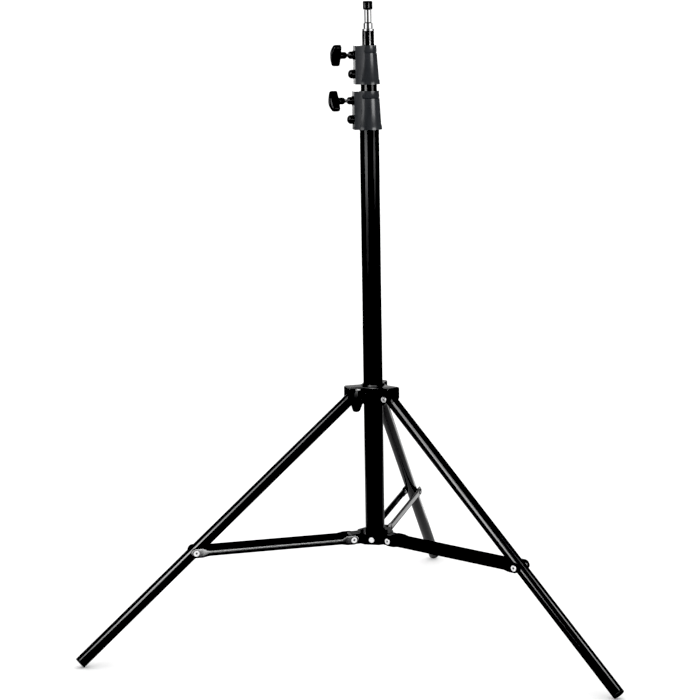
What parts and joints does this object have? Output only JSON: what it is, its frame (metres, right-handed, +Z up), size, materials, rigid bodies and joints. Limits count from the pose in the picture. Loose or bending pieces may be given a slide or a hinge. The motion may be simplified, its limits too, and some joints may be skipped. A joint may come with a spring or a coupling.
{
  "type": "light stand",
  "caption": "Telescopic light stand: tube column on a folding tripod base with braced legs, clamp locks with T-knobs and a stepped mounting stud.",
  "frame": {"origin": "on the floor at the middle of the footprint's bounding rectangle with the legs spread; the column's axis stands at x = 0.0513, y = -0.0703", "axes": "+Z up along the column, -Y towards the side the picture was taken from; one leg points to -X, one to +X and -Y, one to +Y"},
  "size_m": [0.8182, 0.8006, 0.998],
  "materials": {
    "black_tube": "gloss",
    "black_casting": "gloss",
    "grey_plastic": "satin",
    "black_plastic": "satin",
    "black_gloss_plastic": "gloss",
    "white_plastic": "satin",
    "black_rubber": "matte",
    "chrome_steel": "polished",
    "zinc_steel": "satin"
  },
  "bodies": {
    "column": {"main_tube": "black_tube", "column_plug": "black_rubber", "hub": "black_casting", "left_hub_screw": "zinc_steel", "left_hub_rivet": "zinc_steel", "right_hub_screw": "zinc_steel", "right_hub_rivet": "zinc_steel", "back_hub_screw": "zinc_steel", "back_hub_rivet": "zinc_steel", "lower_clamp": "grey_plastic", "lower_cap_bolt": "black_plastic", "lower_lock_nut": "black_plastic"},
    "lower_lock_pad": {"lower_lock_pad": "white_plastic"},
    "lower_lock_knob": {"lower_lock_screw": "chrome_steel", "lower_lock_knob": "black_plastic"},
    "middle_bush": {"middle_guide_bush": "white_plastic"},
    "middle_riser": {"middle_tube": "black_tube", "upper_clamp": "grey_plastic", "upper_cap_bolt": "black_plastic", "upper_lock_nut": "black_plastic"},
    "upper_lock_pad": {"upper_lock_pad": "white_plastic"},
    "upper_lock_knob": {"upper_lock_screw": "chrome_steel", "upper_lock_knob": "black_plastic"},
    "top_bush": {"top_guide_bush": "white_plastic"},
    "top_riser": {"top_tube": "black_tube", "stud": "chrome_steel", "stud_cap": "black_gloss_plastic"},
    "leg_collar": {"leg_collar": "black_casting", "left_collar_rivet": "zinc_steel", "right_collar_rivet": "zinc_steel", "back_collar_rivet": "zinc_steel", "collar_lock_nut": "black_plastic"},
    "collar_lock_pad": {"collar_lock_pad": "white_plastic"},
    "collar_lock_knob": {"collar_lock_screw": "chrome_steel", "collar_lock_knob": "black_plastic"},
    "left_leg": {"left_leg_eye": "black_plastic", "left_leg_tube": "black_tube", "left_leg_pin": "zinc_steel", "left_foot": "black_rubber"},
    "right_leg": {"right_leg_eye": "black_plastic", "right_leg_tube": "black_tube", "right_leg_pin": "zinc_steel", "right_foot": "black_rubber"},
    "back_leg": {"back_leg_eye": "black_plastic", "back_leg_tube": "black_tube", "back_leg_pin": "zinc_steel", "back_foot": "black_rubber"},
    "left_brace": {"left_brace_bar_a": "black_tube", "left_brace_bar_b": "black_tube", "left_brace_rivet_a": "zinc_steel", "left_brace_rivet_b": "zinc_steel"},
    "right_brace": {"right_brace_bar_a": "black_tube", "right_brace_bar_b": "black_tube", "right_brace_rivet_a": "zinc_steel", "right_brace_rivet_b": "zinc_steel"},
    "back_brace": {"back_brace_bar_a": "black_tube", "back_brace_bar_b": "black_tube", "back_brace_rivet_a": "zinc_steel", "back_brace_rivet_b": "zinc_steel"}
  },
  "joints": [
    {"name": "middle_riser_slide", "type": "slide", "parent": "column", "child": "middle_bush", "axis": [0, 0, 1], "range_m": [0, 0.651]},
    {"name": "middle_riser_swivel", "type": "hinge", "parent": "middle_bush", "child": "middle_riser", "pos_m": [0.05126, -0.07028, 0.1791], "axis": [0, 0, 1], "continuous": true},
    {"name": "top_riser_slide", "type": "slide", "parent": "middle_riser", "child": "top_bush", "axis": [0, 0, 1], "range_m": [0, 0.699]},
    {"name": "top_riser_swivel", "type": "hinge", "parent": "top_bush", "child": "top_riser", "pos_m": [0.05126, -0.07028, 0.1994], "axis": [0, 0, 1], "continuous": true},
    {"name": "collar_slide", "type": "slide", "parent": "column", "child": "leg_collar", "axis": [0, 0, 1], "range_m": [0, 0.3675]},
    {"name": "left_leg_fold", "type": "hinge", "parent": "leg_collar", "child": "left_leg", "pos_m": [0.01786, -0.08075, 0.39012], "axis": [0.299, -0.9542, 0], "range_deg": [0, 46.7]},
    {"name": "right_leg_fold", "type": "hinge", "parent": "leg_collar", "child": "right_leg", "pos_m": [0.07702, -0.09397, 0.39012], "axis": [0.6769, 0.7361, 0], "range_deg": [0, 46.7]},
    {"name": "back_leg_fold", "type": "hinge", "parent": "leg_collar", "child": "back_leg", "pos_m": [0.0589, -0.03612, 0.39012], "axis": [-0.9759, 0.2181, 0], "range_deg": [0, 46.7]},
    {"name": "left_brace_fold", "type": "hinge", "parent": "column", "child": "left_brace", "pos_m": [0.01405, -0.08194, 0.1648], "axis": [-0.299, 0.9542, 0], "range_deg": [0, 87.36]},
    {"name": "right_brace_fold", "type": "hinge", "parent": "column", "child": "right_brace", "pos_m": [0.07997, -0.09668, 0.1648], "axis": [-0.6769, -0.7361, 0], "range_deg": [0, 87.36]},
    {"name": "back_brace_fold", "type": "hinge", "parent": "column", "child": "back_brace", "pos_m": [0.05977, -0.03222, 0.1648], "axis": [0.9759, -0.2181, 0], "range_deg": [0, 87.36]},
    {"name": "lower_lock_travel", "type": "slide", "parent": "column", "child": "lower_lock_pad", "axis": [-0.9744, -0.225, 0], "range_m": [0, 0.002]},
    {"name": "lower_lock_turn", "type": "hinge", "parent": "lower_lock_pad", "child": "lower_lock_knob", "pos_m": [0.05126, -0.07028, 0.8486], "axis": [-0.9744, -0.225, 0], "range_deg": [0, 720]},
    {"name": "upper_lock_travel", "type": "slide", "parent": "middle_riser", "child": "upper_lock_pad", "axis": [-0.9744, -0.225, 0], "range_m": [0, 0.002]},
    {"name": "upper_lock_turn", "type": "hinge", "parent": "upper_lock_pad", "child": "upper_lock_knob", "pos_m": [0.05126, -0.07028, 0.9173], "axis": [-0.9744, -0.225, 0], "range_deg": [0, 720]},
    {"name": "collar_lock_travel", "type": "slide", "parent": "leg_collar", "child": "collar_lock_pad", "axis": [-0.454, -0.891, 0], "range_m": [0, 0.002]},
    {"name": "collar_lock_turn", "type": "hinge", "parent": "collar_lock_pad", "child": "collar_lock_knob", "pos_m": [0.05126, -0.07028, 0.39152], "axis": [-0.454, -0.891, 0], "range_deg": [0, 720]}
  ],
  "couplings": [
    {"joint": "left_leg_fold", "follows": "collar_slide", "rad_per_m": 2.2177},
    {"joint": "right_leg_fold", "follows": "collar_slide", "rad_per_m": 2.2177},
    {"joint": "back_leg_fold", "follows": "collar_slide", "rad_per_m": 2.2177},
    {"joint": "left_brace_fold", "follows": "collar_slide", "rad_per_m": 4.1485},
    {"joint": "right_brace_fold", "follows": "collar_slide", "rad_per_m": 4.1485},
    {"joint": "back_brace_fold", "follows": "collar_slide", "rad_per_m": 4.1485},
    {"joint": "lower_lock_travel", "follows": "lower_lock_turn", "m_per_rad": 0.00015915},
    {"joint": "upper_lock_travel", "follows": "upper_lock_turn", "m_per_rad": 0.00015915},
    {"joint": "collar_lock_travel", "follows": "collar_lock_turn", "m_per_rad": 0.00015915}
  ]
}
